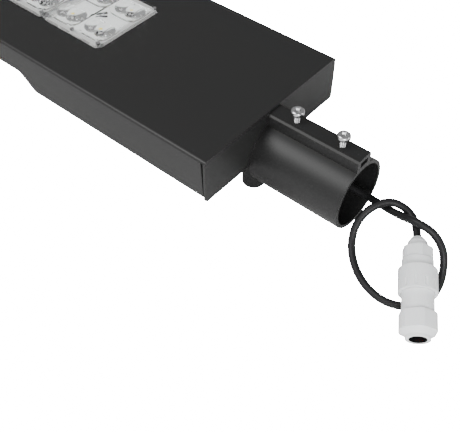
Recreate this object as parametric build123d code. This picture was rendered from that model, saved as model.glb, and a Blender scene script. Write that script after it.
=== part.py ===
"""LED street-lighting head, lying with its lens face up (+Z) and its pole socket towards +X.

Millimetres. The origin is the centre of the pole socket's mouth, X runs along the socket's axis
out of the mouth, Y across the head. The head stands on the plane Z = FLOOR, on which its cable lies.
"""
from build123d import *
import math
import os

os.makedirs("parts", exist_ok=True)

# ---- driving dimensions ---------------------------------------------------------------------
BODY_L = 480.0          # length of the sheet-metal body
BODY_W = 190.0          # width of the body
FACE_Z = 48.0           # height of the lens face above the socket's axis
DRIVER_Z = 5.7          # underside of the driver bay
SHALLOW_Z = 20.8        # underside of the lamp bay
BAY_L = 226.0           # length of the driver bay, up to the start of the slope
SLOPE_L = 20.0          # length of the slope between the two bays
SHEET = 2.0             # sheet thickness
FOLD_R = 3.0            # outer radius of the folded edges
SEAM = 1.2              # open seam at the end plate's corners
PLATE_DROP = 5.7        # how far the end plate hangs below the driver bay
PLATE_CHAMFER = 2.5

SOCKET_R = 31.0         # bore of the pole socket, for a 60 mm pole
SOCKET_WALL = 3.5
SOCKET_L = 96.0
STOP_WALL = 5.0         # wall that closes the inner end of the socket
BOSS_W = 20.0           # clamp boss along the top of the socket
BOSS_TOP = 45.5
BOSS_CHAMFER = 1.6
NUT_W = 10.0            # square clamp nut, across its flats
NUT_T = 5.0
NUT_GAP = 0.3           # play of a nut in its channel
CHANNEL_Z = 36.5        # floor of the nut channel
CHANNEL_L = 84.0
SCREW_R = 3.0
SCREW_L = 22.0
SCREW_X = (-71.5, -23.0)
SCREW_PLAY = 0.05       # radial play of a screw in its nut
SCREW_HOLE_PLAY = 0.4   # radial play of a screw in the boss
SCREW_HEAD_R = 6.2
SCREW_HEAD_H = 4.5
SCREW_OUT = 8.0         # free shank under each screw's head

SADDLE_L = 112.0        # cast saddle that carries the socket under the driver bay
SADDLE_W = 36.0
COLUMN_R = 11.2          # round columns at the saddle's front corners
COLUMN_Y = 18.6
SADDLE_NOSE = 4.2       # how far the columns stand out in front of the end plate
CHAMBER_L = 34.0        # wiring chamber inside the saddle
CHAMBER_W = 32.0
CHAMBER_Z = -16.0
BOLT_R = 3.0
BOLT_X = (-152.0, -192.0)
BOLT_Y = 10.0
BOLT_L = 18.0

MODULES = 3
MODULE_PITCH = 83.0
MODULE_GAP = 0.6
MODULE_W = 87.5
MODULE_START = 182.0    # from the end plate to the first module
WINDOW_INSET = 2.0      # how far the lens plates overlap the window's edge
CARRIER_Z = 42.0
CARRIER_T = 2.0
BOARD_T = 1.6
CHIP = 3.5
CHIP_T = 0.7
LENS_BASE = 3.0
LENS_H = 6.5
LENS_LONG = 35.0
LENS_SHORT = 23.0
LENS_PITCH_X = 41.0
LENS_PITCH_Y = 42.0
GASKET_W = 4.5
GASKET_GAP = 0.4
BOARD_GAP = 0.5
LENS_SCREW_R = 1.2
LENS_SCREW_HEAD = 2.2

FIN_H = 11.0
FIN_T = 2.2
FIN_COUNT = 13
FIN_SPAN = 150.0
FIN_L = 196.0

CABLE_R = 3.5
CABLE_PLAY = 0.4
GLAND_BODY_R = 9.0
GLAND_THREAD_R = 7.9
GLAND_L = 12.0
LOCKNUT_R = 11.0

FLOOR = -(SOCKET_R + SOCKET_WALL)

# ---- derived places ---------------------------------------------------------------------------
PLATE_X = -SOCKET_L                     # outer face of the end plate
NOSE_X = PLATE_X - BODY_L               # far end of the body
HALF_W = BODY_W / 2
KINK_1 = PLATE_X - BAY_L
KINK_2 = KINK_1 - SLOPE_L
INNER_X = PLATE_X - SHEET               # inner face of the end plate
MODULES_X = PLATE_X - MODULE_START
MODULES_END = MODULES_X - MODULES * MODULE_PITCH
BOARD_Z = CARRIER_Z + CARRIER_T
CHIP_Z = BOARD_Z + BOARD_T
LENS_Z = FACE_Z
SOCKET_OUT = SOCKET_R + SOCKET_WALL
STOP_X = PLATE_X + STOP_WALL
CABLE_Z = FLOOR + CABLE_R


def box(x0, x1, y0, y1, z0, z1):
    """Box between two corners."""
    return Pos((x0 + x1) / 2, (y0 + y1) / 2, (z0 + z1) / 2) * Box(abs(x1 - x0), abs(y1 - y0), abs(z1 - z0))


def rod_x(radius, x0, x1, y=0.0, z=0.0):
    """Cylinder along X."""
    return Pos((x0 + x1) / 2, y, z) * Rot(0, 90, 0) * Cylinder(radius, abs(x1 - x0))


def rod_z(radius, z0, z1, x=0.0, y=0.0):
    """Cylinder along Z."""
    return Pos(x, y, (z0 + z1) / 2) * Cylinder(radius, abs(z1 - z0))


def save(name, shape):
    """Write one sub-part."""
    shape.label = name
    export_step(shape, f"parts/{name}.step")


def group(shapes):
    """Several separate solids of one node."""
    return Compound(children=[s for shape in shapes for s in shape.solids()])


def side_space(drop):
    """Everything below the body's stepped underside, lowered by drop."""
    outline = [
        (PLATE_X + 50, DRIVER_Z - drop),
        (KINK_1, DRIVER_Z - drop),
        (KINK_2, SHALLOW_Z - drop),
        (NOSE_X - 50, SHALLOW_Z - drop),
        (NOSE_X - 50, -200),
        (PLATE_X + 50, -200),
    ]
    face = make_face(Plane.XZ * Polyline(*outline, close=True))
    return extrude(face, BODY_W, both=True)


# ---- sheet-metal body -------------------------------------------------------------------------
def housing_tray():
    """Lens face and the two long sides, folded from one sheet."""
    length = BODY_L - SHEET
    middle = (PLATE_X + NOSE_X + SHEET) / 2
    outer = Pos(middle, 0, FACE_Z - 100) * Box(length, BODY_W, 200)
    inner = Pos(middle, 0, FACE_Z - SHEET - 100) * Box(length + 2, BODY_W - 2 * SHEET, 200)
    outer = fillet(outer.edges().filter_by(Axis.X).group_by(Axis.Z)[-1], FOLD_R)
    inner = fillet(inner.edges().filter_by(Axis.X).group_by(Axis.Z)[-1], FOLD_R - SHEET)
    tray = outer - inner - side_space(0)
    window = box(
        MODULES_X - WINDOW_INSET,
        MODULES_END + WINDOW_INSET,
        -MODULE_W / 2 + WINDOW_INSET,
        MODULE_W / 2 - WINDOW_INSET,
        CARRIER_Z,
        FACE_Z + 1,
    )
    tray -= window
    # the sides stop behind the end plate and leave a seam that widens towards the face
    seam_face = make_face(
        Plane.XZ
        * Polyline(
            (PLATE_X + 1, -50),
            (INNER_X - SEAM / 2, -50),
            (INNER_X - SEAM / 2, DRIVER_Z),
            (INNER_X - 2 * SEAM, FACE_Z - SHEET),
            (PLATE_X + 1, FACE_Z - SHEET),
            close=True,
        )
    )
    tray -= extrude(seam_face, BODY_W, both=True)
    return tray


def spigot_end_plate():
    """End plate with folded returns along both sides, notched for the cable gland."""
    bottom = DRIVER_Z - PLATE_DROP
    top = FACE_Z - SHEET
    plate = box(INNER_X, PLATE_X, -HALF_W, HALF_W, bottom, top)
    corners = plate.edges().filter_by(Axis.X).group_by(Axis.Z)[0]
    plate = chamfer(corners, PLATE_CHAMFER)
    for side in (-1, 1):
        y_out = side * (HALF_W - SHEET - 0.2)
        y_in = side * (HALF_W - 2 * SHEET - 0.2)
        plate += box(INNER_X - 14, INNER_X, y_in, y_out, DRIVER_Z + SHEET + 0.5, top - 2)
    plate -= rod_x(GLAND_THREAD_R + 4, INNER_X - 1, PLATE_X + 1)
    return plate


def nose_end_plate():
    """Shallow end plate at the far end."""
    plate = box(NOSE_X, NOSE_X + SHEET, -HALF_W, HALF_W, SHALLOW_Z, FACE_Z)
    plate = chamfer(plate.edges().filter_by(Axis.X), 2.0)
    for side in (-1, 1):
        y_out = side * (HALF_W - SHEET - 0.2)
        y_in = side * (HALF_W - 2 * SHEET - 0.2)
        plate += box(NOSE_X + SHEET, NOSE_X + 14, y_in, y_out, SHALLOW_Z + SHEET + 0.5, FACE_Z - SHEET - 2)
    return plate


def back_cover():
    """Stepped back sheet that closes both bays."""
    block = box(NOSE_X + SHEET, INNER_X, -HALF_W + SHEET + 0.1, HALF_W - SHEET - 0.1, 0, FACE_Z - 12)
    cover = (block - side_space(0)) & side_space(-SHEET)
    cover -= box(INNER_X - CHAMBER_L + 4, INNER_X + 1, -LOCKNUT_R - 1, LOCKNUT_R + 1, 0, DRIVER_Z + SHEET + 1)
    for x in BOLT_X:
        for y in (-BOLT_Y, BOLT_Y):
            cover -= rod_z(BOLT_R + 0.3, 0, DRIVER_Z + SHEET + 1, x, y)
    return cover


def cover_screw_places():
    """Self-tapping screws along both long edges of the back cover."""
    xs = [INNER_X - 20, INNER_X - 110, KINK_1 + 14, KINK_2 - 30, (KINK_2 + NOSE_X) / 2, NOSE_X + 25]
    return [(x, side * (HALF_W - 9)) for x in xs for side in (-1, 1)]


def cover_screws():
    """Heads of the back-cover screws with their shanks."""
    screws = []
    for x, y in cover_screw_places():
        z = DRIVER_Z if x > KINK_1 else SHALLOW_Z
        screws.append(rod_z(3.6, z - 1.8, z, x, y))
    return group(screws)


def heat_sink():
    """Finned plate under the lamp bay."""
    x1 = KINK_2 - 8
    x0 = x1 - FIN_L
    base_t = 2.5
    base = box(x0, x1, -FIN_SPAN / 2, FIN_SPAN / 2, SHALLOW_Z - base_t, SHALLOW_Z)
    pitch = (FIN_SPAN - FIN_T) / (FIN_COUNT - 1)
    for i in range(FIN_COUNT):
        y = -FIN_SPAN / 2 + i * pitch
        base += box(x0, x1, y, y + FIN_T, SHALLOW_Z - FIN_H, SHALLOW_Z - base_t)
    return base


# ---- light source -----------------------------------------------------------------------------
def module_x(i):
    """Middle of lens module i."""
    return MODULES_X - (i + 0.5) * MODULE_PITCH


def lens_places(i):
    """Centres of the four lenses of module i."""
    return [
        (module_x(i) + sx * LENS_PITCH_X / 2, sy * LENS_PITCH_Y / 2)
        for sx in (-1, 1)
        for sy in (-1, 1)
    ]


def lens_screw_places(i):
    """Screws at the corners and the middle of the long edges of module i."""
    dx = MODULE_PITCH / 2 - 4.5
    dy = MODULE_W / 2 - 4.5
    corners = [(sx * dx, sy * dy) for sx in (-1, 1) for sy in (-1, 1)]
    return [(module_x(i) + x, y) for x, y in corners + [(0, -dy), (0, dy)]]


def led_carrier():
    """Aluminium plate that the boards are screwed to, with folded feet on the back cover."""
    x0 = MODULES_END - 6
    x1 = MODULES_X + 6
    half = MODULE_W / 2 + 8
    plate = box(x0, x1, -half, half, CARRIER_Z, BOARD_Z)
    for x in (KINK_2 - 40, (KINK_2 + MODULES_END) / 2 - 30, MODULES_END + 4):
        for side in (-1, 1):
            y = side * (half - 2)
            plate += box(x - 10, x + 10, y - 2, y + 2, SHALLOW_Z + SHEET, CARRIER_Z)
    for i in range(MODULES):
        for x, y in lens_screw_places(i):
            plate -= rod_z(LENS_SCREW_R + 0.1, CARRIER_Z - 1, BOARD_Z + 1, x, y)
    return plate


def led_board(i):
    """White circuit board of module i."""
    margin = WINDOW_INSET + GASKET_GAP + GASKET_W + BOARD_GAP
    lx = MODULE_PITCH - MODULE_GAP - 2 * margin
    ly = MODULE_W - 2 * margin
    x = module_x(i)
    board = box(x - lx / 2, x + lx / 2, -ly / 2, ly / 2, BOARD_Z, CHIP_Z)
    for sx, sy in lens_screw_places(i):
        board -= rod_z(LENS_SCREW_R + 1.2, BOARD_Z - 1, CHIP_Z + 1, sx, sy)
    return board


def led_chips():
    """LED packages of every module, one under each lens."""
    chips = []
    for i in range(MODULES):
        for x, y in lens_places(i):
            chips.append(box(x - CHIP / 2, x + CHIP / 2, y - CHIP / 2, y + CHIP / 2, CHIP_Z, CHIP_Z + CHIP_T))
    return group(chips)


def lens_plate(i):
    """Clear lens plate with four oblong lenses."""
    x = module_x(i)
    lx = MODULE_PITCH - MODULE_GAP
    plate = box(x - lx / 2, x + lx / 2, -MODULE_W / 2, MODULE_W / 2, LENS_Z, LENS_Z + LENS_BASE)
    plate = chamfer(plate.edges().filter_by(Axis.Z), 5.0)
    top = LENS_Z + LENS_BASE
    for cx, cy in lens_places(i):
        dome = extrude(Plane.XY.offset(top) * SlotOverall(LENS_LONG, LENS_SHORT), LENS_H)
        dome = fillet(dome.edges().group_by(Axis.Z)[-1], LENS_H * 0.8)
        plate += Pos(cx, cy, 0) * dome
    for sx, sy in lens_screw_places(i):
        plate -= rod_z(LENS_SCREW_R + 0.15, LENS_Z - 1, top + 1, sx, sy)
    return plate


def lens_gasket(i):
    """Silicone ring between carrier and lens plate."""
    x = module_x(i)
    lx = MODULE_PITCH - MODULE_GAP - 2 * (WINDOW_INSET + GASKET_GAP)
    ly = MODULE_W - 2 * (WINDOW_INSET + GASKET_GAP)
    ring = box(x - lx / 2, x + lx / 2, -ly / 2, ly / 2, BOARD_Z, LENS_Z)
    ring = chamfer(ring.edges().filter_by(Axis.Z), 2.5)
    lx -= 2 * GASKET_W
    ly -= 2 * GASKET_W
    ring -= box(x - lx / 2, x + lx / 2, -ly / 2, ly / 2, BOARD_Z - 1, LENS_Z + 1)
    for sx, sy in lens_screw_places(i):
        ring -= rod_z(LENS_SCREW_R + 0.15, BOARD_Z - 1, LENS_Z + 1, sx, sy)
    return ring


def lens_screws():
    """Small screws that hold the lens plates."""
    screws = []
    for i in range(MODULES):
        for x, y in lens_screw_places(i):
            top = LENS_Z + LENS_BASE
            shank = rod_z(LENS_SCREW_R, CARRIER_Z - 1, top, x, y)
            screws.append(shank + rod_z(LENS_SCREW_HEAD, top, top + 1.3, x, y))
    return group(screws)


# ---- driver bay -------------------------------------------------------------------------------
BAY_FLOOR = DRIVER_Z + SHEET
DRIVER = dict(x0=INNER_X - 164, x1=INNER_X - 34, y0=-82.0, y1=-26.0, height=31.0)
SURGE = dict(x0=INNER_X - 120, x1=INNER_X - 62, y0=46.0, y1=86.0, height=27.0)
TERMINAL = dict(x0=INNER_X - 102, x1=INNER_X - 60, y0=20.0, y1=40.0, height=17.0)
LEAD_R = 2.4
LEAD_Z = BAY_FLOOR + 8.0


def housed(place, fillet_r):
    """Rounded case standing on the bay's floor."""
    case = box(place["x0"], place["x1"], place["y0"], place["y1"], BAY_FLOOR, BAY_FLOOR + place["height"])
    return fillet(case.edges().filter_by(Axis.Z), fillet_r)


def led_driver():
    """Potted driver with two screwed feet."""
    case = housed(DRIVER, 5)
    middle = (DRIVER["y0"] + DRIVER["y1"]) / 2
    for x, out in ((DRIVER["x0"], -8), (DRIVER["x1"], 8)):
        foot = box(x - 1 if out > 0 else x + 1, x + out, middle - 12, middle + 12, BAY_FLOOR, BAY_FLOOR + 3)
        case += foot - rod_z(2.2, BAY_FLOOR - 1, BAY_FLOOR + 4, x + out * 0.5, middle)
    return case


def driver_screws():
    """Two screws through the driver's feet."""
    middle = (DRIVER["y0"] + DRIVER["y1"]) / 2
    screws = []
    for x in (DRIVER["x0"] - 4, DRIVER["x1"] + 4):
        shank = rod_z(1.9, BAY_FLOOR, BAY_FLOOR + 3, x, middle)
        screws.append(shank + rod_z(3.6, BAY_FLOOR + 3, BAY_FLOOR + 5.2, x, middle))
    return group(screws)


def terminal_block():
    """Three-way block for the supply leads."""
    block = housed(TERMINAL, 1)
    middle = (TERMINAL["y0"] + TERMINAL["y1"]) / 2
    for i in range(3):
        x = TERMINAL["x0"] + (i + 0.5) * (TERMINAL["x1"] - TERMINAL["x0"]) / 3
        block -= rod_z(3.0, BAY_FLOOR + TERMINAL["height"] - 6, BAY_FLOOR + TERMINAL["height"] + 1, x, middle)
    return block


def lead(points, radius):
    """Insulated lead along straight runs and arcs."""
    path = FilletPolyline(*points, radius=radius)
    start = Plane(origin=points[0], z_dir=path % 0)
    return sweep(start * Circle(LEAD_R), path=path)


def supply_leads():
    """Leads from the gland up through the wiring chamber to the terminal block."""
    x = INNER_X - CHAMBER_L / 2
    y = (TERMINAL["y0"] + TERMINAL["y1"]) / 2
    return lead([(STOP_X - 8.2, 0, 0), (x, 0, 0), (x, 0, LEAD_Z), (x, y, LEAD_Z), (TERMINAL["x1"], y, LEAD_Z)], 6.0)


def led_leads():
    """Leads from the driver along the bay to the boards."""
    x0 = DRIVER["x0"]
    y = DRIVER["y1"] - 8
    up = CARRIER_Z - 7
    return lead([(x0, y, LEAD_Z), (x0 - 18, y, LEAD_Z), (x0 - 40, y + 16, up), (MODULES_X - 60, y + 16, up)], 7.0)


# ---- pole socket ------------------------------------------------------------------------------
def screw_top():
    """Underside of a clamp screw's head."""
    return BOSS_TOP + SCREW_OUT


def spigot_casting():
    """Pole socket, clamp boss and saddle in one casting."""
    body = rod_x(SOCKET_OUT, PLATE_X, 0)
    boss = box(PLATE_X, 0, -BOSS_W / 2, BOSS_W / 2, 0, BOSS_TOP)
    boss = chamfer(boss.edges().filter_by(Axis.X).group_by(Axis.Z)[-1], BOSS_CHAMFER)
    body += boss
    saddle_x = PLATE_X + SADDLE_NOSE
    column_x = saddle_x - COLUMN_R
    saddle = box(saddle_x - SADDLE_L, saddle_x, -SADDLE_W / 2, SADDLE_W / 2, FLOOR, DRIVER_Z)
    for side in (-1, 1):
        saddle += rod_z(COLUMN_R, FLOOR, DRIVER_Z, column_x, side * COLUMN_Y)
    saddle -= box(INNER_X, saddle_x + 1, -SADDLE_W, SADDLE_W, DRIVER_Z - PLATE_DROP, DRIVER_Z + 1)
    ramp = make_face(
        Plane.XZ
        * Polyline(
            (saddle_x - SADDLE_L - 1, DRIVER_Z - 12),
            (saddle_x - SADDLE_L * 0.45, FLOOR),
            (saddle_x - SADDLE_L * 0.45, FLOOR - 1),
            (saddle_x - SADDLE_L - 1, FLOOR - 1),
            close=True,
        )
    )
    saddle -= extrude(ramp, SADDLE_W, both=True)
    body += saddle
    body -= rod_x(SOCKET_R, STOP_X, 1)
    body -= rod_x(GLAND_THREAD_R + 0.15, INNER_X - 1, STOP_X + 1)
    body -= box(INNER_X - CHAMBER_L, INNER_X, -CHAMBER_W / 2, CHAMBER_W / 2, CHAMBER_Z, DRIVER_Z + 1)
    half_nut = NUT_W / 2 + NUT_GAP
    body -= box(-CHANNEL_L, 1, -half_nut, half_nut, CHANNEL_Z, CHANNEL_Z + NUT_T + NUT_GAP)
    for x in SCREW_X:
        body -= rod_z(SCREW_R + SCREW_HOLE_PLAY, SOCKET_R - 8, BOSS_TOP + 1, x)
    for x in BOLT_X:
        for y in (-BOLT_Y, BOLT_Y):
            body -= rod_z(BOLT_R + 0.15, DRIVER_Z - BOLT_L + 4, DRIVER_Z + 1, x, y)
    return body


def clamp_nuts():
    """Square nuts held in the boss's channel."""
    nuts = []
    for x in SCREW_X:
        nut = box(x - NUT_W / 2, x + NUT_W / 2, -NUT_W / 2, NUT_W / 2, CHANNEL_Z, CHANNEL_Z + NUT_T)
        nuts.append(nut - rod_z(SCREW_R + SCREW_PLAY, CHANNEL_Z - 1, CHANNEL_Z + NUT_T + 1, x))
    return group(nuts)


def clamp_screw(x):
    """Pan-head screw with a hexagon recess, screwed out to let a pole in."""
    under = screw_top()
    screw = rod_z(SCREW_R, under - SCREW_L, under, x)
    screw = chamfer(screw.edges().group_by(Axis.Z)[0], 0.8)
    head = rod_z(SCREW_HEAD_R, under, under + SCREW_HEAD_H, x)
    head = fillet(head.edges().group_by(Axis.Z)[-1], 1.8)
    recess = Pos(x, 0, under + SCREW_HEAD_H - 2.4) * extrude(RegularPolygon(2.6, 6), 3)
    return screw + head - recess


def spigot_bolts():
    """Bolts from the bay into the saddle."""
    bolts = []
    for x in BOLT_X:
        for y in (-BOLT_Y, BOLT_Y):
            shank = rod_z(BOLT_R, DRIVER_Z - BOLT_L + 5, BAY_FLOOR, x, y)
            head = Pos(x, y, BAY_FLOOR) * extrude(RegularPolygon(5.4, 6), 4)
            bolts.append(shank + head)
    return group(bolts)


def cable_gland():
    """Gland through the socket's stop wall."""
    body = rod_x(GLAND_THREAD_R, INNER_X - 4, STOP_X)
    body += rod_x(GLAND_BODY_R, STOP_X, STOP_X + GLAND_L - 4)
    body += rod_x(GLAND_BODY_R - 2, STOP_X + GLAND_L - 4, STOP_X + GLAND_L)
    body -= rod_x(CABLE_R + CABLE_PLAY, STOP_X - 8, STOP_X + GLAND_L + 1)
    body -= rod_x(LEAD_R + 0.2, INNER_X - 5, STOP_X)
    return body


def gland_locknut():
    """Locknut in the wiring chamber."""
    nut = Pos(INNER_X - 3.5, 0, 0) * Rot(0, 90, 0) * extrude(RegularPolygon(LOCKNUT_R, 6), 3)
    return nut - rod_x(GLAND_THREAD_R + 0.1, INNER_X - 5, INNER_X + 1)


# ---- cable and coupling -----------------------------------------------------------------------
COUPLING_START = Vector(65.8, -9.5, FLOOR + 33.0)
COUPLING_END = Vector(114.1, -83.6, FLOOR + 15.0)
AXIS = (COUPLING_END - COUPLING_START).normalized()
COUPLING_L = (COUPLING_END - COUPLING_START).length
CABLE_IN = 10.0         # how far the cable reaches into the coupling
LEAD_IN = 6.0           # straight stretch of cable before the coupling

ROUTE = [
    (STOP_X - 8, 0, 0),
    (-77.0, 0.2, 0.1),
    (-56.0, 1.4, -0.4),
    (-35.0, 4.0, -2.4),
    (-14.0, 7.4, -4.6),
    (6.0, 8.6, -6.0),
    (26.0, 6.0, -4.5),
    (44.0, 0.0, 2.5),
    (60.0, -4.2, 10.5),
    (75.5, -2.5, 7.5),
    (87.5, -1.5, -7.0),
    (95.0, -9.0, -20.5),
    (99.5, -22.0, -29.8),
    (98.5, -40.0, CABLE_Z),
    (88.0, -55.5, CABLE_Z),
    (70.0, -62.5, CABLE_Z),
    (50.0, -58.5, CABLE_Z),
    (32.0, -47.5, -30.5),
    (18.5, -34.5, -25.0),
    (13.0, -22.5, -12.0),
    (16.5, -11.0, 1.5),
    (25.5, 3.0, 6.8),
    (36.5, 9.5, 4.8),
    (50.5, 8.0, 1.5),
    tuple(COUPLING_START - AXIS * LEAD_IN),
    tuple(COUPLING_START + AXIS * CABLE_IN),
]
CORNER_SHARE = 0.45     # each bend's arc takes this share of its shorter run


def corner_radii(points):
    """Arc radius at each corner of the route."""
    radii = []
    for a, b, c in zip(points, points[1:], points[2:]):
        run_in = Vector(b) - Vector(a)
        run_out = Vector(c) - Vector(b)
        turn = math.radians(run_in.get_angle(run_out))
        radii.append(CORNER_SHARE * min(run_in.length, run_out.length) / math.tan(turn / 2))
    return radii


def mains_cable():
    """Rubber cable along straight runs and tangent arcs."""
    radii = corner_radii(ROUTE)
    path = FilletPolyline(*ROUTE, radius=radii)
    print("cable radii", [round(r) for r in radii], "length", round(path.length, 1))
    start = Plane(origin=ROUTE[0], z_dir=path % 0)
    tube = sweep(start * Circle(CABLE_R), path=path)
    print("cable volume ratio", round(tube.volume / (math.pi * CABLE_R**2 * path.length), 4))
    return tube


def coupling(shape):
    """Move a shape from the coupling's own axis (Z from its cable end) into place."""
    return Plane(origin=COUPLING_START, x_dir=(0, 0, 1), z_dir=AXIS).location * shape


def ring(outer, inner, t0, t1):
    """Hollow cylinder on the coupling's axis."""
    return rod_z(outer, t0, t1) - rod_z(inner, t0 - 1, t1 + 1)


def hexagon(apothem, corner_r, t0, t1):
    """Hexagon with its corners turned down."""
    prism = Pos(0, 0, t0) * extrude(RegularPolygon(apothem, 6, major_radius=False), t1 - t0)
    return prism & rod_z(corner_r, t0, t1)


THREAD_PLAY = 0.06
INLET_THREAD_R = 9.4
INLET_HEX = 10.7
INLET_NUT_L = 21.2
INLET_BODY_R = 13.1
RING_START = 30.5
RING_END = 51.1
INLET_END = RING_START + 9.0
RING_R = 16.2
RING_PLAY = 0.3
LUG_T0 = RING_START + 3.6
LUG_T1 = LUG_T0 + 3.0
LUG_ANGLE = 9.0
RING_TURN = 30.0
OUTLET_START = INLET_END + 1.7
OUTLET_BODY_R = 13.2
OUTLET_SHOULDER = RING_END + 0.6
OUTLET_THREAD_R = 11.8
OUTLET_NUT_START = 69.2
OUTLET_THREAD_END = OUTLET_NUT_START + 10.0
CAVITY_R = 8.6
ENTRY_R = 7.0           # open entry for the supply cable
ENTRY_L = 6.0


def sector(radius, angle0, angle1, t0, t1):
    """Pie slice on the coupling's axis."""
    slice_ = Cylinder(radius, t1 - t0, arc_size=angle1 - angle0)
    return Pos(0, 0, (t0 + t1) / 2) * Rot(0, 0, angle0) * slice_


def inlet_gland_nut():
    """Domed nut that clamps the lamp's cable."""
    nut = Cone(5.4, 8.4, 4.5, align=(Align.CENTER, Align.CENTER, Align.MIN))
    nut += rod_z(8.4, 4.5, INLET_HEX - 2.0)
    nut += Pos(0, 0, INLET_HEX - 2.0) * Cone(8.4, 11.6, 2.0, align=(Align.CENTER, Align.CENTER, Align.MIN))
    nut += hexagon(12.0, 12.9, INLET_HEX, INLET_NUT_L)
    nut -= rod_z(CABLE_R + CABLE_PLAY, -1, 10)
    nut -= rod_z(7.6, 4.0, 7.4)
    nut -= rod_z(INLET_THREAD_R + THREAD_PLAY, 7.4, INLET_NUT_L + 1)
    return nut


def inlet_seal():
    """Rubber sleeve around the cable."""
    return ring(7.3, CABLE_R + 0.1, 4.2, 7.2)


def inlet_body():
    """Inlet half of the coupling with two bayonet lugs."""
    body = rod_z(INLET_THREAD_R, 7.6, INLET_NUT_L + 0.3)
    body += rod_z(INLET_BODY_R, INLET_NUT_L + 0.3, INLET_END)
    body -= rod_z(CABLE_R + CABLE_PLAY, 7, CABLE_IN)
    body -= rod_z(LEAD_R, 9, INLET_NUT_L + 3)
    body -= rod_z(CAVITY_R, INLET_NUT_L + 2, INLET_END + 1)
    for angle in (0, 180):
        lug = sector(RING_R - 0.4, angle - LUG_ANGLE / 2, angle + LUG_ANGLE / 2, LUG_T0, LUG_T1)
        body += lug - rod_z(INLET_BODY_R - 1, LUG_T0 - 1, LUG_T1 + 1)
    return body


def locking_ring():
    """Bayonet ring with two hooked slots."""
    shell = ring(RING_R, INLET_BODY_R + RING_PLAY, RING_START, RING_END)
    for i in range(12):
        groove = Pos(RING_R + 0.9, 0, (RING_START + RING_END) / 2 + 5) * Cylinder(1.5, 7.6)
        shell -= Rot(0, 0, 15 + 30 * i) * groove
    far = -RING_TURN - LUG_ANGLE / 2 - 1.5
    for angle in (0, 180):
        shell -= sector(RING_R + 1, angle + far, angle + LUG_ANGLE / 2 + 1.5, LUG_T0 - 0.5, LUG_T1 + 0.5)
        shell -= sector(RING_R + 1, angle + far, angle + far + LUG_ANGLE + 3, RING_START - 1, LUG_T1 + 0.5)
    return shell


def coupling_oring():
    """Face seal between the two halves."""
    return Pos(0, 0, (INLET_END + OUTLET_START) / 2) * Torus(10.9, 0.78)


def contact_insert():
    """Three-pole contact insert inside the coupling."""
    insert = rod_z(CAVITY_R - 0.2, INLET_END - 10, OUTLET_SHOULDER + 12)
    for i in range(3):
        x = 4.6 * math.cos(math.radians(120 * i))
        y = 4.6 * math.sin(math.radians(120 * i))
        insert -= rod_z(1.5, OUTLET_SHOULDER, OUTLET_SHOULDER + 13, x, y)
    return insert


def outlet_body():
    """Outlet half of the coupling."""
    body = rod_z(INLET_BODY_R, OUTLET_START, OUTLET_SHOULDER)
    body += rod_z(OUTLET_BODY_R, OUTLET_SHOULDER, OUTLET_NUT_START - 0.3)
    body += rod_z(OUTLET_THREAD_R, OUTLET_NUT_START - 0.3, OUTLET_THREAD_END)
    body -= rod_z(CAVITY_R, OUTLET_START - 1, OUTLET_THREAD_END + 1)
    return body


def outlet_seal():
    """Open rubber sleeve, empty until the supply cable goes in."""
    return ring(CAVITY_R - 0.1, ENTRY_R + 0.1, OUTLET_THREAD_END - 10, OUTLET_THREAD_END - 0.5)


def outlet_gland_nut():
    """Large gland nut with its open cable entry."""
    entry = COUPLING_L - ENTRY_L
    nut = hexagon(14.6, 15.6, OUTLET_NUT_START, entry)
    nut += Pos(0, 0, entry) * Cone(14.4, 10.3, ENTRY_L - 2, align=(Align.CENTER, Align.CENTER, Align.MIN))
    nut += rod_z(10.3, COUPLING_L - 2.5, COUPLING_L)
    nut -= rod_z(ENTRY_R, OUTLET_NUT_START, COUPLING_L + 1)
    nut -= rod_z(OUTLET_THREAD_R + THREAD_PLAY, OUTLET_NUT_START - 1, OUTLET_THREAD_END + 0.4)
    return nut


# ---- write every sub-part ---------------------------------------------------------------------
save("housing_tray", housing_tray())
save("spigot_end_plate", spigot_end_plate())
save("nose_end_plate", nose_end_plate())
save("back_cover", back_cover())
save("cover_screws", cover_screws())
save("heat_sink", heat_sink())
save("led_carrier", led_carrier())
for n in range(MODULES):
    save(f"led_board_{n + 1}", led_board(n))
    save(f"lens_plate_{n + 1}", lens_plate(n))
    save(f"lens_gasket_{n + 1}", lens_gasket(n))
save("led_chips", led_chips())
save("lens_screws", lens_screws())
save("led_driver", led_driver())
save("driver_screws", driver_screws())
save("surge_protector", housed(SURGE, 4))
save("terminal_block", terminal_block())
save("supply_leads", supply_leads())
save("led_leads", led_leads())
save("spigot_casting", spigot_casting())
save("spigot_bolts", spigot_bolts())
save("clamp_nuts", clamp_nuts())
for n, screw_x in enumerate(SCREW_X):
    save(f"clamp_screw_{n + 1}", clamp_screw(screw_x))
save("cable_gland", cable_gland())
save("gland_locknut", gland_locknut())
save("mains_cable", mains_cable())
save("inlet_gland_nut", coupling(inlet_gland_nut()))
save("inlet_seal", coupling(inlet_seal()))
save("inlet_body", coupling(inlet_body()))
save("locking_ring", coupling(locking_ring()))
save("coupling_oring", coupling(coupling_oring()))
save("contact_insert", coupling(contact_insert()))
save("outlet_body", coupling(outlet_body()))
save("outlet_seal", coupling(outlet_seal()))
save("outlet_gland_nut", coupling(outlet_gland_nut()))
print("coupling axis", AXIS, "length", COUPLING_L)
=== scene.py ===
"""Street lamp head: cable, lens covers, clamp screws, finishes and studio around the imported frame."""

import bmesh
import bpy
import numpy as np
from bpy.props import FloatProperty, FloatVectorProperty, IntProperty, PointerProperty
from bpy.types import Operator, Panel, PropertyGroup
from mathutils import Matrix, Vector


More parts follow.
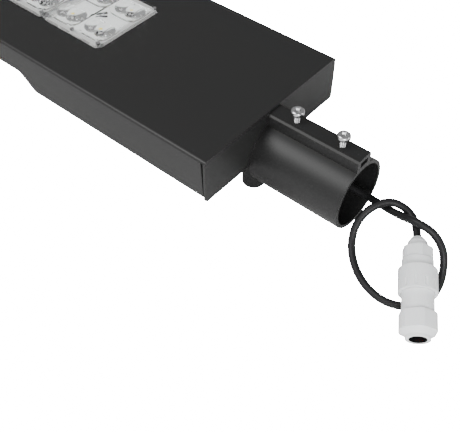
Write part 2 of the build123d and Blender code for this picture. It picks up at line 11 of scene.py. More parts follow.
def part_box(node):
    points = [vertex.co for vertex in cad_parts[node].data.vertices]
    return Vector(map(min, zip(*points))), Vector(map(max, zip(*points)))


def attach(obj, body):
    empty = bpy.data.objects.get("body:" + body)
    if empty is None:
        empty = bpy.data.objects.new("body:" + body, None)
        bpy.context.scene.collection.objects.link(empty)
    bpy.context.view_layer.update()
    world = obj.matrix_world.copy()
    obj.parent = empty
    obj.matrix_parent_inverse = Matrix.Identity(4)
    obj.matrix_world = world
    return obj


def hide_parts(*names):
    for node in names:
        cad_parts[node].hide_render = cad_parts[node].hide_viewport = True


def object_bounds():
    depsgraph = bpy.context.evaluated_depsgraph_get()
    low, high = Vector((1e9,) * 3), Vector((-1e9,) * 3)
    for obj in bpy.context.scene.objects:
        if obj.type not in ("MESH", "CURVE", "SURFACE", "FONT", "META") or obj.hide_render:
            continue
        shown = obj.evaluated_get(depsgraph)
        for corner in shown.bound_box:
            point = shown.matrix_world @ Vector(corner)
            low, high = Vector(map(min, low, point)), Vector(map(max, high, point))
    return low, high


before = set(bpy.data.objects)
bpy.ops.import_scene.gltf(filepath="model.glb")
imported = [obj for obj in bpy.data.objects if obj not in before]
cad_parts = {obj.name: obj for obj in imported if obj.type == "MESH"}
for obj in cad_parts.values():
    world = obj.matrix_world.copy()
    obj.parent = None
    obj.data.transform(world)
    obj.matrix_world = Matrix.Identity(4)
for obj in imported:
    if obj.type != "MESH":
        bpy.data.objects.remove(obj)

CAD_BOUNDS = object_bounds()

bl_info = {
    "name": "Street lamp head",
    "version": (1, 0, 0),
    "blender": (4, 5, 0),
    "location": "View3D > Sidebar > Lamp Head",
    "description": "Builds the cable, lens covers, clamp screws, finishes and studio of a street lamp head",
    "category": "Object",
}

HEAD = "lamp_head"
MODULES = 3
MM = 0.001

# The cable's route in millimetres, from the gland inside the socket to inside the coupling
ROUTE = [
    (-99.0, 0.0, 0.0),
    (-77.0, 0.2, 0.1),
    (-56.0, 1.4, -0.4),
    (-35.0, 4.0, -2.4),
    (-14.0, 7.4, -4.6),
    (6.0, 8.6, -6.0),
    (26.0, 6.0, -4.5),
    (44.0, 0.0, 2.5),
    (60.0, -4.2, 10.5),
    (75.5, -2.5, 7.5),
    (87.5, -1.5, -7.0),
    (95.0, -9.0, -20.5),
    (99.5, -22.0, -29.8),
    (98.5, -40.0, -31.0),
    (88.0, -55.5, -31.0),
    (70.0, -62.5, -31.0),
    (50.0, -58.5, -31.0),
    (32.0, -47.5, -30.5),
    (18.5, -34.5, -25.0),
    (13.0, -22.5, -12.0),
    (16.5, -11.0, 1.5),
    (25.5, 3.0, 6.8),
    (36.5, 9.5, 4.8),
    (50.5, 8.0, 1.5),
    (62.59, -4.57, -0.3),
    (71.15, -17.71, -3.49),
]
# Coupling, in metres: its axis from the cable's end to the open entry, the entry's radius and how far past
# that radius the painted shade inside the entry reaches
COUPLING_AXIS = ((0.0658, -0.0095, -0.0015), (0.1141, -0.0836, -0.0195))
ENTRY_R = 0.007
SHADE_REACH = 0.0003

# Lens covers
LENS_X = 0.0205          # from the plate's middle to a lens's middle
LENS_Y = 0.021
PLATE_FLAT = 0.003       # height of the flat top above the underside
PLATE_CORNER = 0.005
EDGE_ROLL = (0.0009, 0.0012)             # drop and width of the rounded edge
RIDGE_OFFSETS = (0.0066, 0.0084)         # border ridges, in from the edge
RIDGE = (0.0005, 0.00045)                # height and half width
POCKET = (0.0035, 0.012, 0.0008)         # half length, half width and depth
DIMPLE = (0.22, 0.0038, 0.0042)          # share of the height, half length and half width
FOOT = (0.0188, 0.0165)                  # half length and half width of a lens's foot
FOOT_SHARE = 0.12

# Clamp screws
HEAD_H = 0.0045
HEAD_ROUND = 0.002
HEX_FLAT = 0.0026        # from the recess's middle to a flat
SHANK_R = 0.00298
THREAD_DEPTH = 0.00052

# Solder bars on the boards: distance from the board's middle, half length, half width and height
BAR_OFFSET = 0.0021
BAR = (0.0062, 0.0012, 0.0012)

# Camera
CAMERA_LENS = 58.8
CAMERA_PLACE = (0.2075, -0.4214, 0.4818)
CAMERA_AHEAD = (-0.4299, 0.5089, -0.7458)
CAMERA_RIGHT = (0.764, 0.6452, 0.0)

# Studio: each light's name, place, size, power and what it points at
BODY_MIDDLE = Vector((-0.15, 0.0, 0.0))
COUPLING_MIDDLE = Vector(COUPLING_AXIS[0]).lerp(Vector(COUPLING_AXIS[1]), 0.5)
LIGHTS = [
    ("key", (-0.9, -0.9, 1.5), 1.2, 27.0, BODY_MIDDLE),
    ("side", (0.4, -1.6, 0.7), 1.0, 5.0, BODY_MIDDLE),
    ("socket", (1.5, 0.7, 0.9), 0.7, 5.0, BODY_MIDDLE),
    ("coupling", (0.42, -0.42, 0.28), 0.3, 3.4, COUPLING_MIDDLE),
]
SKY = 0.34
FLOOR_GLOW = 45.0


class LampHeadSizes(PropertyGroup):
    """Sizes that a user would change."""

    cable_diameter: FloatProperty(
        name="Cable diameter", description="Outer diameter of the cable", default=0.007, unit="LENGTH"
    )
    lens_height: FloatProperty(
        name="Lens height", description="Height of a lens above its plate", default=0.0064, unit="LENGTH"
    )
    lens_lobe: FloatProperty(
        name="Lens lobe", description="From a lens's middle to a lobe's centre", default=0.0068, unit="LENGTH"
    )
    lens_radius: FloatProperty(
        name="Lens lobe radius", description="Radius of one lobe of a lens", default=0.0108, unit="LENGTH"
    )
    grid_step: FloatProperty(
        name="Grid step", description="Spacing of the lens surface's grid", default=0.0006, unit="LENGTH"
    )
    thread_pitch: FloatProperty(
        name="Thread pitch", description="Pitch of the clamp screws", default=0.001, unit="LENGTH"
    )
    turn_steps: IntProperty(name="Turn steps", description="Segments round a turned piece", default=72)
    floor_size: FloatProperty(
        name="Floor size", description="Width of the studio floor", default=8.0, unit="LENGTH"
    )


def colour(label, about, value):
    """Colour property in scene-linear RGB."""
    return FloatVectorProperty(
        name=label, description=about, default=value, size=3, min=0, max=1, subtype="COLOR"
    )


class LampHeadColours(PropertyGroup):
    """Colours that a user would change."""

    coat: colour("Powder coat", "Textured powder coat of the body", (0.0011, 0.0011, 0.0012))
    cast: colour("Cast coat", "Paint of the pole socket", (0.0032, 0.0032, 0.0035))
    steel: colour("Steel", "Zinc-plated screws", (0.62, 0.62, 0.63))
    aluminium: colour("Aluminium", "Heat sink and carrier", (0.5, 0.505, 0.51))
    board: colour("Board", "White circuit board", (0.78, 0.79, 0.78))
    phosphor: colour("Phosphor", "LED phosphor", (0.82, 0.66, 0.14))
    rubber: colour("Rubber", "Cable sheath and seals", (0.007, 0.007, 0.0078))
    coupling: colour("Coupling", "Light grey polyamide", (0.9, 0.905, 0.91))
    floor: colour("Floor", "Studio floor", (0.93, 0.93, 0.93))


def sizes():
    """The scene's sizes."""
    return bpy.context.scene.lamp_head_sizes


def colours():
    """The scene's colours."""
    return bpy.context.scene.lamp_head_colours


# ---- meshes from arrays -------------------------------------------------------------------------
def mesh_piece(name, vertices, faces, smooth=True):
    """Object at the origin from an (n, 3) array of vertices in metres and an (m, 4) array of quads."""
    mesh = bpy.data.meshes.new(name)
    mesh.from_pydata(vertices.tolist(), [], faces.tolist())
    mesh.validate()
    mesh.polygons.foreach_set("use_smooth", np.full(len(mesh.polygons), smooth))
    mesh.update()
    piece = bpy.data.objects.new(name, mesh)
    bpy.context.scene.collection.objects.link(piece)
    return piece


def grid_quads(rows, columns, wrap):
    """Quads of a rows by columns grid; wrap joins the last column to the first."""
    i, j = np.meshgrid(np.arange(rows - 1), np.arange(columns if wrap else columns - 1), indexing="ij")
    k = (j + 1) % columns
    here = i * columns
    following = (i + 1) * columns
    return np.stack([here + j, here + k, following + k, following + j], axis=-1).reshape(-1, 4)


def merge_ends(piece):
    """Close the poles, where a whole row of the grid is one point, and turn the faces outwards."""
    shape = bmesh.new()
    shape.from_mesh(piece.data)
    bmesh.ops.remove_doubles(shape, verts=shape.verts, dist=1e-7)
    bmesh.ops.dissolve_degenerate(shape, edges=shape.edges, dist=1e-8)
    bmesh.ops.recalc_face_normals(shape, faces=shape.faces)
    shape.to_mesh(piece.data)
    shape.free()


def chamfered_grid(half_x, half_y, chamfer, step):
    """Rectangle grid with its corners pushed in.

    Where |x| + |y| passes the chamfer's line, both shrink equally.
    """
    x, y = np.meshgrid(
        np.linspace(-half_x, half_x, int(2 * half_x / step)),
        np.linspace(-half_y, half_y, int(2 * half_y / step)),
        indexing="ij",
    )
    over = np.clip(np.abs(x) + np.abs(y) - (half_x + half_y - chamfer), 0, None) / 2
    return x - np.sign(x) * over, y - np.sign(y) * over


def lens_height(x, y, s):
    """Two dimpled round caps side by side on a low oblong foot, joined where the higher one wins.

    A cap is (1 - distance squared / radius squared) to the power 0.45, less a bell-shaped dimple. The foot
    ends where the fourth powers of x and y over its half sizes add up to one. Both are shares of lens_height.
    """
    lobes = []
    for side in (-1, 1):
        far = ((x - side * s.lens_lobe) ** 2 + y**2) / s.lens_radius**2
        lobes.append(np.sqrt(np.clip(1 - far, 0, None)))
    cap = np.maximum(*lobes) ** 0.9
    depth, dimple_x, dimple_y = DIMPLE
    dimple = depth * np.exp(-(((np.abs(x) - s.lens_lobe) / dimple_x) ** 2 + (y / dimple_y) ** 2))
    foot = (np.abs(x) / FOOT[0]) ** 4 + (np.abs(y) / FOOT[1]) ** 4
    rim = np.clip((1 - foot) * 5, 0, 1)
    return s.lens_height * np.maximum(cap - dimple, FOOT_SHARE * rim)


def lens_cover(number):
    """Clear plate, closed by walls and a flat underside.

    Its top is the higher of a flat and four lenses, with a rolled edge, two bell-shaped border ridges and a
    shallow pocket in the middle added to it.
    """
    s = sizes()
    low, high = (np.array(c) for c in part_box(f"lens_plate_{number}"))
    centre = (low + high) / 2
    half = (high - low) / 2
    x, y = chamfered_grid(half[0], half[1], PLATE_CORNER, s.grid_step)
    flat = low[2] + PLATE_FLAT
    top = np.full_like(x, flat)
    for sx in (-1, 1):
        for sy in (-1, 1):
            top = np.maximum(top, flat + lens_height(x - sx * LENS_X, y - sy * LENS_Y, s))
    edge = np.minimum(half[0] - np.abs(x), half[1] - np.abs(y))
    top -= EDGE_ROLL[0] * np.clip(1 - edge / EDGE_ROLL[1], 0, 1) ** 2
    for ridge in RIDGE_OFFSETS:
        top += RIDGE[0] * np.exp(-(((edge - ridge) / RIDGE[1]) ** 2))
    pocket = np.clip(1 - (np.abs(x) / POCKET[0]) ** 6, 0, 1) * np.clip(1 - (np.abs(y) / POCKET[1]) ** 6, 0, 1)
    top -= POCKET[2] * pocket
    rows, columns = x.shape
    upper = np.stack([x + centre[0], y + centre[1], top], axis=-1).reshape(-1, 3)
    lower = upper.copy()
    lower[:, 2] = low[2]
    quads = grid_quads(rows, columns, False)
    count = rows * columns
    index = np.arange(count).reshape(rows, columns)
    loop = np.concatenate([index[0, :-1], index[:-1, -1], index[-1, :0:-1], index[:0:-1, 0]])
    following = np.roll(loop, -1)
    wall = np.stack([loop, following, following + count, loop + count], axis=-1)
    faces = np.concatenate([quads, quads[:, ::-1] + count, wall])
    piece = mesh_piece(f"lens_cover_{number}", np.concatenate([upper, lower]), faces)
    merge_ends(piece)
    piece.data.materials.append(clear_acrylic())
    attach(piece, HEAD)
    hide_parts(f"lens_plate_{number}")
    return piece


def clamp_screw(number):
    """Screw turned from a profile: a helical thread along the shank, a domed head and a hexagon recess.

    The thread's depth is a triangle wave of (height / pitch - angle / turn). The recess's radius is
    its flat distance over the cosine of the angle from the nearest flat.
    """
    s = sizes()
    node = f"clamp_screw_{number}"
    low, high = (np.array(c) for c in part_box(node))
    centre = (low + high) / 2
    head_r = (high[0] - low[0]) / 2
    under = high[2] - HEAD_H
    angle = np.linspace(0, 2 * np.pi, s.turn_steps, endpoint=False)
    hexagon = HEX_FLAT / np.cos((angle + np.pi / 6) % (np.pi / 3) - np.pi / 6)
    shank_z = np.arange(low[2] + 0.0006, under, s.thread_pitch / 8)
    phase = (shank_z[:, None] / s.thread_pitch - angle[None, :] / (2 * np.pi)) % 1
    fade = np.clip((under - shank_z[:, None]) / 0.0008, 0, 1)
    shank_r = SHANK_R - THREAD_DEPTH * (1 - np.abs(2 * phase - 1)) * fade
    turn = np.linspace(0, np.pi / 2, 10)
    dome_r = head_r - HEAD_ROUND * (1 - np.cos(turn))
    dome_z = high[2] - HEAD_ROUND + HEAD_ROUND * np.sin(turn)
    ones = np.ones_like(angle)
    rows = [(0 * ones, low[2]), (0.0024 * ones, low[2])]
    rows += list(zip(shank_r, shank_z))
    rows += [(0.003 * ones, under), ((head_r - 0.0003) * ones, under), (head_r * ones, under + 0.0003)]
    rows += [(r * ones, z) for r, z in zip(dome_r, dome_z)]
    rows += [(hexagon + 0.0003, high[2] - 0.0001), (hexagon, high[2] - 0.0004)]
    rows += [(hexagon * 0.98, high[2] - 0.0032), (0 * ones, high[2] - 0.0038)]
    radius = np.array([r for r, _ in rows])
    height = np.array([z for _, z in rows])[:, None] * ones
    points = np.stack(
        [centre[0] + radius * np.cos(angle), centre[1] + radius * np.sin(angle), height], axis=-1
    ).reshape(-1, 3)
    piece = mesh_piece(f"{node}_turned", points, grid_quads(len(rows), len(angle), True))
    merge_ends(piece)
    piece.data.materials.append(plated_steel())
    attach(piece, node)
    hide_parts(node)
    return piece


def oblong_pad(name, middle, half_x, half_y, height, turn=0.0, power=6.0):
    """Low pad in polar rows from rim to middle: a superellipse outline that shrinks while it rises."""
    angle = np.linspace(0, 2 * np.pi, 40, endpoint=False)
    share = np.array([1.0, 1.0, 0.96, 0.85, 0.5, 0.0])
    rise = np.array([0.0, 0.6, 0.9, 1.0, 1.0, 1.0])
    reach = (np.abs(np.cos(angle)) ** power + np.abs(np.sin(angle)) ** power) ** (-1 / power)
    u = half_x * share[:, None] * reach * np.cos(angle)
    v = half_y * share[:, None] * reach * np.sin(angle)
    x = middle[0] + u * np.cos(turn) - v * np.sin(turn)
    y = middle[1] + u * np.sin(turn) + v * np.cos(turn)
    z = middle[2] + height * rise[:, None] * np.ones_like(angle)
    body = np.stack([x, y, z], axis=-1)
    base = body[:1].copy()
    base[0, :, :2] = middle[:2]
    points = np.concatenate([base, body]).reshape(-1, 3)
    piece = mesh_piece(name, points, grid_quads(len(share) + 1, len(angle), True))
    merge_ends(piece)
    return piece


# ---- shader groups ------------------------------------------------------------------------------
def new_group(name, inputs, outputs):
    """Shader node group with float inputs and named outputs."""
    group = bpy.data.node_groups.new(name, "ShaderNodeTree")
    for label, value in inputs:
        socket = group.interface.new_socket(label, in_out="INPUT", socket_type="NodeSocketFloat")
        socket.default_value = value
    for label, kind in outputs:
        group.interface.new_socket(label, in_out="OUTPUT", socket_type=kind)
    return group, group.nodes.new("NodeGroupInput"), group.nodes.new("NodeGroupOutput")


def maths(tree, operation, a, b=None):
    """Math node fed by sockets or numbers; returns its output."""
    node = tree.nodes.new("ShaderNodeMath")
    node.operation = operation
    for slot, value in enumerate((a, b)):
        if isinstance(value, (int, float)):
            node.inputs[slot].default_value = value
        elif value is not None:
            tree.links.new(value, node.inputs[slot])
    return node.outputs[0]


def noise(tree, scale, detail=3.0, rough=0.6):
    """Noise on Object coordinates; returns its value output."""
    place = tree.nodes.new("ShaderNodeTexCoord")
    node = tree.nodes.new("ShaderNodeTexNoise")
    node.inputs["Detail"].default_value = detail
    node.inputs["Roughness"].default_value = rough
    tree.links.new(place.outputs["Object"], node.inputs["Vector"])
    if isinstance(scale, (int, float)):
        node.inputs["Scale"].default_value = scale
    else:
        tree.links.new(scale, node.inputs["Scale"])
    return node.outputs[0]


def grain_group():
    """Fine orange-peel grain over larger soft clouds, with specks on the grain's highest points that paint
    glints.
    """
    if "coat_grain" in bpy.data.node_groups:
        return bpy.data.node_groups["coat_grain"]
    group, given, out = new_group(
        "coat_grain",
        [("Grain Scale", 1400.0), ("Cloud Scale", 30.0)],
        [("Height", "NodeSocketFloat"), ("Cloud", "NodeSocketFloat"), ("Painted Glint", "NodeSocketFloat")],
    )
    fine = noise(group, given.outputs["Grain Scale"], 2.0)
    cloud = noise(group, given.outputs["Cloud Scale"], 4.0)
    # painted glint: the highest points of the fine grain become specks
    glint_specks = maths(group, "GREATER_THAN", fine, 0.63)
    group.links.new(fine, out.inputs["Height"])
    group.links.new(cloud, out.inputs["Cloud"])
    group.links.new(glint_specks, out.inputs["Painted Glint"])
    return group


def edge_group():
    """Mask of sharp edges, which paints a highlight along them, and the bevelled normal: the mask is how far
    the bevelled normal turns from the true one.
    """
    if "bevel_and_painted_highlight" in bpy.data.node_groups:
        return bpy.data.node_groups["bevel_and_painted_highlight"]
    group, given, out = new_group(
        "bevel_and_painted_highlight",
        [("Width", 0.0006), ("Gain", 6.0)],
        [("Mask", "NodeSocketFloat"), ("Normal", "NodeSocketVector")],
    )
    bevel = group.nodes.new("ShaderNodeBevel")
    bevel.samples = 4
    group.links.new(given.outputs["Width"], bevel.inputs["Radius"])
    true = group.nodes.new("ShaderNodeNewGeometry")
    dot = group.nodes.new("ShaderNodeVectorMath")
    dot.operation = "DOT_PRODUCT"
    group.links.new(bevel.outputs["Normal"], dot.inputs[0])
    group.links.new(true.outputs["Normal"], dot.inputs[1])
    turned = maths(group, "SUBTRACT", 1.0, dot.outputs["Value"])
    mask = maths(group, "MINIMUM", maths(group, "MULTIPLY", turned, given.outputs["Gain"]), 1.0)
    group.links.new(mask, out.inputs["Mask"])
    group.links.new(bevel.outputs["Normal"], out.inputs["Normal"])
    return group


def finish(name, base, light, rough, rough_span, grain, cloud, bump, edge=0.0006, highlight_mix=0.5, **sockets):
    """Material whose colour runs from base to light in soft clouds, in specks that are painted glints and
    along edges as a painted highlight, with a grain bump.
    """
    if name in bpy.data.materials:
        return bpy.data.materials[name]
    made = bpy.data.materials.new(name)
    made.use_nodes = True
    made.diffuse_color = (*base, 1)
    tree = made.node_tree
    shader = tree.nodes["Principled BSDF"]
    for label, value in sockets.items():
        shader.inputs[label.replace("_", " ")].default_value = value
    grains = tree.nodes.new("ShaderNodeGroup")
    grains.node_tree = grain_group()
    grains.inputs["Grain Scale"].default_value = grain
    grains.inputs["Cloud Scale"].default_value = cloud
    edges = tree.nodes.new("ShaderNodeGroup")
    edges.node_tree = edge_group()
    edges.inputs["Width"].default_value = edge
    # painted highlight: sharp edges take the lighter colour
    painted_highlight = maths(tree, "MULTIPLY", edges.outputs["Mask"], highlight_mix)
    clouds = maths(tree, "MULTIPLY", grains.outputs["Cloud"], 0.35)
    # painted glint: the specks take part of the lighter colour
    glint_specks = maths(tree, "MULTIPLY", grains.outputs["Painted Glint"], 0.25)
    share = maths(tree, "MINIMUM", maths(tree, "ADD", maths(tree, "ADD", painted_highlight, clouds), glint_specks), 1.0)
    mix = tree.nodes.new("ShaderNodeMix")
    mix.data_type = "RGBA"
    mix.inputs[6].default_value = (*base, 1)
    mix.inputs[7].default_value = (*light, 1)
    tree.links.new(share, mix.inputs[0])
    tree.links.new(mix.outputs[2], shader.inputs["Base Color"])
    spread = maths(tree, "MULTIPLY", grains.outputs["Cloud"], rough_span)
    tree.links.new(maths(tree, "ADD", spread, rough - rough_span / 2), shader.inputs["Roughness"])
    bumps = tree.nodes.new("ShaderNodeBump")
    bumps.inputs["Strength"].default_value = bump
    bumps.inputs["Distance"].default_value = 0.0002
    tree.links.new(grains.outputs["Height"], bumps.inputs["Height"])
    tree.links.new(edges.outputs["Normal"], bumps.inputs["Normal"])
    tree.links.new(bumps.outputs["Normal"], shader.inputs["Normal"])
    return made


def lighter(rgb, gain, lift=0.0):
    """Brighter copy of a colour."""
    return tuple(min(1.0, c * gain + lift) for c in rgb)


def powder_coat():
    """Fine-textured black powder coat."""
    c = tuple(colours().coat)
    return finish("powder_coat", c, lighter(c, 2.4, 0.0018), 0.48, 0.1, 1500, 14, 0.8, 0.0007, 0.9,
                  Specular_IOR_Level=0.05)


def cast_coat():
    """Satin paint over a sand-cast surface."""
    c = tuple(colours().cast)
    return finish("cast_coat", c, lighter(c, 2.6, 0.003), 0.34, 0.1, 1100, 40, 1.0, 0.0009, 0.35,
                  Specular_IOR_Level=0.3)


def plated_steel():
    """Bright zinc-plated steel."""
    c = tuple(colours().steel)
    return finish("plated_steel", c, lighter(c, 1.25), 0.2, 0.1, 700, 120, 0.12, 0.0002, 0.4, Metallic=1.0)


def bare_aluminium():
    """Rolled and extruded aluminium."""
    c = tuple(colours().aluminium)
    return finish("bare_aluminium", c, lighter(c, 1.2), 0.38, 0.15, 900, 60, 0.2, 0.0003, 0.5, Metallic=1.0)


def white_board():
    """White solder mask."""
    c = tuple(colours().board)
    return finish("white_board", c, lighter(c, 1.08), 0.42, 0.1, 600, 50, 0.1, 0.0002, 0.2)


def phosphor():
    """Yellow LED phosphor."""
    c = tuple(colours().phosphor)
    return finish("phosphor", c, lighter(c, 1.15), 0.5, 0.1, 900, 200, 0.15, 0.0002, 0.2)


def black_rubber():
    """Matt rubber with a fine drawn grain."""
    c = tuple(colours().rubber)
    return finish("black_rubber", c, lighter(c, 2.2, 0.004), 0.5, 0.14, 900, 90, 0.45, 0.0003, 0.3,
                  Specular_IOR_Level=0.3)


def coupling_plastic():
    """Light grey moulded polyamide."""
    c = tuple(colours().coupling)
    return finish("coupling_plastic", c, lighter(c, 1.12), 0.36, 0.08, 650, 60, 0.12, 0.0005, 0.35,
                  Subsurface_Weight=0.05)


def black_plastic():
    """Black moulded polyamide."""
    c = (0.02, 0.02, 0.021)
    return finish("black_plastic", c, (0.05, 0.05, 0.052), 0.4, 0.1, 800, 80, 0.2, 0.0004, 0.4)


def silicone():
    """Milky silicone."""
    return finish("silicone", (0.62, 0.63, 0.62), (0.75, 0.76, 0.75), 0.45, 0.1, 500, 60, 0.12, 0.0003, 0.3)


def clear_acrylic():
    """Clear moulded acrylic with faint flow marks."""
    if "clear_acrylic" in bpy.data.materials:
        return bpy.data.materials["clear_acrylic"]
    made = bpy.data.materials.new("clear_acrylic")
    made.use_nodes = True
    made.diffuse_color = (0.9, 0.93, 0.94, 0.35)
    tree = made.node_tree
    shader = tree.nodes["Principled BSDF"]
    shader.inputs["Base Color"].default_value = (0.97, 0.985, 0.985, 1)
    shader.inputs["Transmission Weight"].default_value = 1.0
    shader.inputs["IOR"].default_value = 1.49
    flow = noise(tree, 160.0, 2.0)
    tree.links.new(maths(tree, "MULTIPLY", flow, 0.09), shader.inputs["Roughness"])
    bumps = tree.nodes.new("ShaderNodeBump")
    bumps.inputs["Strength"].default_value = 0.05
    bumps.inputs["Distance"].default_value = 0.0003
    tree.links.new(flow, bumps.inputs["Height"])
    tree.links.new(bumps.outputs["Normal"], shader.inputs["Normal"])
    # light for the board below passes straight through
    path = tree.nodes.new("ShaderNodeLightPath")
    clear = tree.nodes.new("ShaderNodeBsdfTransparent")
    blend = tree.nodes.new("ShaderNodeMixShader")
    tree.links.new(path.outputs["Is Shadow Ray"], blend.inputs[0])
    tree.links.new(shader.outputs[0], blend.inputs[1])
    tree.links.new(clear.outputs[0], blend.inputs[2])
    tree.links.new(blend.outputs[0], tree.nodes["Material Output"].inputs["Surface"])
    return made


def lined_entry():
    """Coupling plastic whose entry hole is painted in the dark rubber colour as painted shade."""
    if "lined_entry" in bpy.data.materials:
        return bpy.data.materials["lined_entry"]
    made = coupling_plastic().copy()
    made.name = "lined_entry"
    tree = made.node_tree
    start, end = (Vector(point) for point in COUPLING_AXIS)
    along = (end - start).normalized()
    place = tree.nodes.new("ShaderNodeTexCoord")

    def vector_maths(operation, a, b):
        node = tree.nodes.new("ShaderNodeVectorMath")
        node.operation = operation
        tree.links.new(a, node.inputs[0])
        node.inputs[1].default_value = b
        return node

    offset = vector_maths("SUBTRACT", place.outputs["Object"], start).outputs[0]
    off_axis = vector_maths("CROSS_PRODUCT", offset, along).outputs[0]
    reach = tree.nodes.new("ShaderNodeVectorMath")
    reach.operation = "LENGTH"
    tree.links.new(off_axis, reach.inputs[0])
    inside = maths(tree, "LESS_THAN", reach.outputs["Value"], ENTRY_R + SHADE_REACH)
    shader = tree.nodes["Principled BSDF"]
    plain_colour = shader.inputs["Base Color"].links[0].from_socket
    # painted shade: inside the entry's radius the colour turns to the dark rubber colour
    entry_shade = tree.nodes.new("ShaderNodeMix")
    entry_shade.data_type = "RGBA"
    tree.links.new(inside, entry_shade.inputs[0])
    tree.links.new(plain_colour, entry_shade.inputs[6])
    entry_shade.inputs[7].default_value = (*colours().rubber, 1)
    tree.links.new(entry_shade.outputs[2], shader.inputs["Base Color"])
    return made


NODE_FINISHES = {
    powder_coat: ["housing_tray", "spigot_end_plate", "nose_end_plate", "back_cover"],
    cast_coat: ["spigot_casting"],
    bare_aluminium: ["heat_sink", "led_carrier"],
    plated_steel: ["cover_screws", "lens_screws", "driver_screws", "spigot_bolts", "clamp_nuts"],
    white_board: ["led_board_1", "led_board_2", "led_board_3", "led_driver", "surge_protector"],
    phosphor: ["led_chips"],
    silicone: ["lens_gasket_1", "lens_gasket_2", "lens_gasket_3"],
    black_plastic: [
        "terminal_block",
        "contact_insert",
        "cable_gland",
        "gland_locknut",
        "supply_leads",
        "led_leads",
    ],
    black_rubber: ["inlet_seal", "coupling_oring", "outlet_seal"],
    coupling_plastic: ["inlet_gland_nut", "inlet_body", "locking_ring", "outlet_body"],
    lined_entry: ["outlet_gland_nut"],
}


# ---- operators ----------------------------------------------------------------------------------
class LAMP_OT_camera(Operator):
    """Place the camera that looks down at the socket's corner."""

    bl_idname = "lamp.camera"
    bl_label = "Camera"

    def execute(self, context):
        data = bpy.data.cameras.new("camera")
        data.sensor_width = 36.0
        data.lens = CAMERA_LENS
        data.clip_start = 0.01
        ahead = Vector(CAMERA_AHEAD).normalized()
        right = Vector(CAMERA_RIGHT).normalized()
        up = right.cross(ahead)
        camera = bpy.data.objects.new("camera", data)
        turned = Matrix((right, up, -ahead)).transposed().to_4x4()
        camera.matrix_world = Matrix.Translation(CAMERA_PLACE) @ turned
        context.scene.collection.objects.link(camera)
        context.scene.camera = camera
        return {"FINISHED"}


class LAMP_OT_cable(Operator):
    """Lay the rubber cable along its route."""

    bl_idname = "lamp.cable"
    bl_label = "Supply cable"

    def execute(self, context):
        curve = bpy.data.curves.new("supply_cable", "CURVE")
        curve.dimensions = "3D"
        curve.resolution_u = 10
        curve.bevel_depth = sizes().cable_diameter / 2
        curve.bevel_resolution = 5
        curve.use_fill_caps = True
        spline = curve.splines.new("NURBS")
        spline.points.add(len(ROUTE) - 1)
        points = np.ones((len(ROUTE), 4))
        points[:, :3] = np.array(ROUTE) * MM
        spline.points.foreach_set("co", points.ravel())
        spline.order_u = 3
        spline.use_endpoint_u = True
        cable = bpy.data.objects.new("supply_cable", curve)
        context.scene.collection.objects.link(cable)
        cable.data.materials.append(black_rubber())
        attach(cable, HEAD)
        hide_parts("mains_cable")
        return {"FINISHED"}


class LAMP_OT_lens_covers(Operator):
    """Make the clear lens covers."""

    bl_idname = "lamp.lens_covers"
    bl_label = "Lens covers"

    def execute(self, context):
        for number in range(1, MODULES + 1):
            lens_cover(number)
        return {"FINISHED"}


class LAMP_OT_board_marks(Operator):
    """Make the dark solder bars in the middle of each board."""

    bl_idname = "lamp.board_marks"
    bl_label = "Board contacts"

    def execute(self, context):
        for number in range(1, MODULES + 1):
            low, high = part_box(f"led_board_{number}")
            x = (low[0] + high[0]) / 2
            y = (low[1] + high[1]) / 2
            for side, label in ((-1, "a"), (1, "b")):
                middle = np.array([x + side * BAR_OFFSET, y - side * BAR_OFFSET, high[2]])
                bar = oblong_pad(f"board_{number}_contact_{label}", middle, *BAR, np.pi / 4)
                bar.data.materials.append(black_plastic())
                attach(bar, HEAD)
        return {"FINISHED"}


class LAMP_OT_clamp_screws(Operator):
    """Turn the two clamp screws."""

    bl_idname = "lamp.clamp_screws"
    bl_label = "Clamp screws"

    def execute(self, context):
        for number in (1, 2):
            clamp_screw(number)
        return {"FINISHED"}


class LAMP_OT_finishes(Operator):
    """Give every carried-over piece its finish."""

    bl_idname = "lamp.finishes"
    bl_label = "Finishes"

    def execute(self, context):
        for make, names in NODE_FINISHES.items():
            for name in names:
                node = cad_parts[name]
                node.data.materials.clear()
                node.data.materials.append(make())
        return {"FINISHED"}


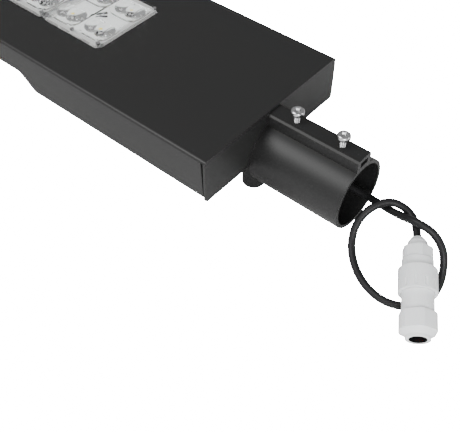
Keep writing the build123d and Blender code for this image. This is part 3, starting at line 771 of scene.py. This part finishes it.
class LAMP_OT_studio(Operator):
    """Set up the pale floor, the soft lights and the world."""

    bl_idname = "lamp.studio"
    bl_label = "Studio"

    def execute(self, context):
        half = sizes().floor_size / 2
        floor_z = CAD_BOUNDS[0][2]
        outline = ((-half, -half), (half, -half), (half, half), (-half, half))
        corners = np.array([(x, y, floor_z) for x, y in outline])
        floor = mesh_piece("floor", corners, np.array([[0, 1, 2, 3]]), False)
        c = tuple(colours().floor)
        paper = finish("studio_floor", c, lighter(c, 1.02), 0.8, 0.05, 40, 2, 0.0, 0.0005, 0.0)
        floor.data.materials.append(paper)
        # the sheet glows for camera rays alone, so it reads as white and lights nothing
        seen = paper.node_tree.nodes.new("ShaderNodeLightPath")
        glow = paper.node_tree.nodes["Principled BSDF"].inputs
        glow["Emission Color"].default_value = (1, 1, 1, 1)
        lit = maths(paper.node_tree, "MULTIPLY", seen.outputs["Is Camera Ray"], FLOOR_GLOW)
        paper.node_tree.links.new(lit, glow["Emission Strength"])
        for name, place, size, power, target in LIGHTS:
            data = bpy.data.lights.new(name, "AREA")
            data.shape = "DISK"
            data.size = size
            data.energy = power
            lamp = bpy.data.objects.new(name, data)
            lamp.location = place
            lamp.rotation_euler = (target - Vector(place)).to_track_quat("-Z", "Y").to_euler()
            context.scene.collection.objects.link(lamp)
        world = bpy.data.worlds.new("studio")
        world.use_nodes = True
        sky = world.node_tree.nodes["Background"]
        sky.inputs["Color"].default_value = (1, 1, 1, 1)
        sky.inputs["Strength"].default_value = SKY
        context.scene.world = world
        return {"FINISHED"}


class LAMP_PT_panel(Panel):
    """Lists the lamp head's steps and sizes."""

    bl_idname = "LAMP_PT_panel"
    bl_label = "Street lamp head"
    bl_space_type = "VIEW_3D"
    bl_region_type = "UI"
    bl_category = "Lamp Head"

    def draw(self, context):
        layout = self.layout
        for settings in (context.scene.lamp_head_sizes, context.scene.lamp_head_colours):
            for name in settings.__annotations__:
                layout.prop(settings, name)
        for step in STEPS:
            layout.operator(step.bl_idname)


STEPS = (
    LAMP_OT_camera,
    LAMP_OT_cable,
    LAMP_OT_lens_covers,
    LAMP_OT_board_marks,
    LAMP_OT_clamp_screws,
    LAMP_OT_finishes,
    LAMP_OT_studio,
)
CLASSES = (LampHeadSizes, LampHeadColours) + STEPS + (LAMP_PT_panel,)


def register():
    """Register the classes and their settings."""
    for cls in CLASSES:
        bpy.utils.register_class(cls)
    bpy.types.Scene.lamp_head_sizes = PointerProperty(type=LampHeadSizes)
    bpy.types.Scene.lamp_head_colours = PointerProperty(type=LampHeadColours)


def unregister():
    """Remove the settings and the classes."""
    del bpy.types.Scene.lamp_head_colours
    del bpy.types.Scene.lamp_head_sizes
    for cls in reversed(CLASSES):
        bpy.utils.unregister_class(cls)


def main():
    """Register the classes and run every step."""
    register()
    bpy.ops.lamp.camera()
    bpy.ops.lamp.cable()
    bpy.ops.lamp.lens_covers()
    bpy.ops.lamp.board_marks()
    bpy.ops.lamp.clamp_screws()
    bpy.ops.lamp.finishes()
    bpy.ops.lamp.studio()


if __name__ == "__main__":
    main()
